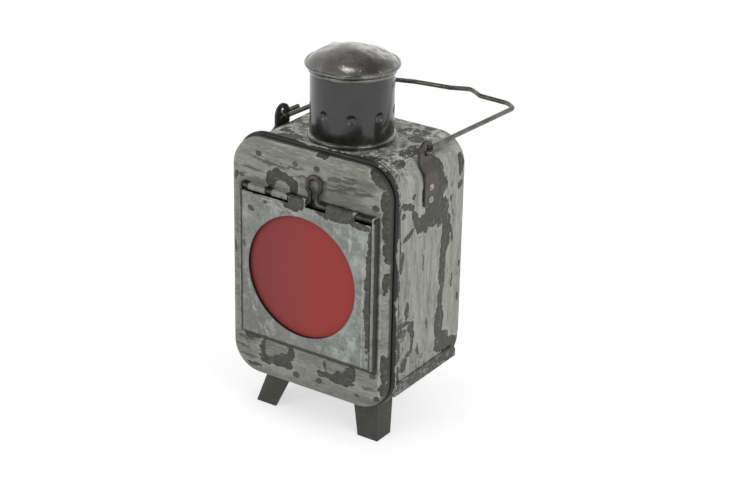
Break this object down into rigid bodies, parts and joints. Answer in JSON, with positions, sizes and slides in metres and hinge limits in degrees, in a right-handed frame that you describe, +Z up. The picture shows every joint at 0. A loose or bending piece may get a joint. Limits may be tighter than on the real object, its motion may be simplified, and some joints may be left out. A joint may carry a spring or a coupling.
{
  "type": "candle lantern",
  "caption": "Candle lantern of worn grey painted sheet metal: red glass lens in a top-hinged flap, round chimney with a domed cap, wire bail and splayed angle legs.",
  "frame": {"origin": "on the floor, under the middle of the bounding box with the bail laid back", "axes": "+Z up, -Y the way the lens faces, +X to the right in a view of the front"},
  "size_m": [0.1272, 0.1907, 0.2565],
  "materials": {
    "grey_paint": "worn satin paint",
    "flap_paint": "thin brushed paint over zinc",
    "dark_paint": "dull dark grey",
    "black_enamel": "sooty satin black",
    "steel_wire": "aged bare wire",
    "rivet_steel": "aged, partly painted over",
    "red_glass": "satin red",
    "tin": "dull tinplate",
    "wax": "ivory wax",
    "wick_cotton": "charred cotton"
  },
  "bodies": {
    "lantern": {"front_plate": "grey_paint", "body_shell": "grey_paint", "back_panel": "grey_paint", "front_frame": "dark_paint", "base_tray": "dark_paint", "strap_left": "dark_paint", "strap_right": "dark_paint", "leg_front_left": "dark_paint", "leg_front_right": "dark_paint", "leg_rear": "dark_paint", "chimney_tube": "black_enamel", "chimney_base_ring": "black_enamel", "chimney_collar": "black_enamel", "chimney_cap": "black_enamel", "hinge_pin": "steel_wire", "strap_rivets": "rivet_steel", "shell_rivets": "rivet_steel", "tray_rivets": "rivet_steel", "leg_rivets": "rivet_steel", "cup_rivet": "rivet_steel", "candle_cup": "tin", "candle": "wax", "wick": "wick_cotton"},
    "lens_flap": {"lens_panel": "flap_paint", "lens_glass": "red_glass", "lens_retainer": "flap_paint"},
    "bail": {"bail_handle": "steel_wire"}
  },
  "joints": [
    {"name": "bail_swing", "type": "hinge", "parent": "lantern", "child": "bail", "pos_m": [0, -0.03836, 0.1963], "axis": [1, 0, 0], "range_deg": [0, 178]},
    {"name": "lens_flap_swing", "type": "hinge", "parent": "lantern", "child": "lens_flap", "pos_m": [0, -0.09276, 0.1666], "axis": [-1, 0, 0], "range_deg": [0, 115]}
  ]
}
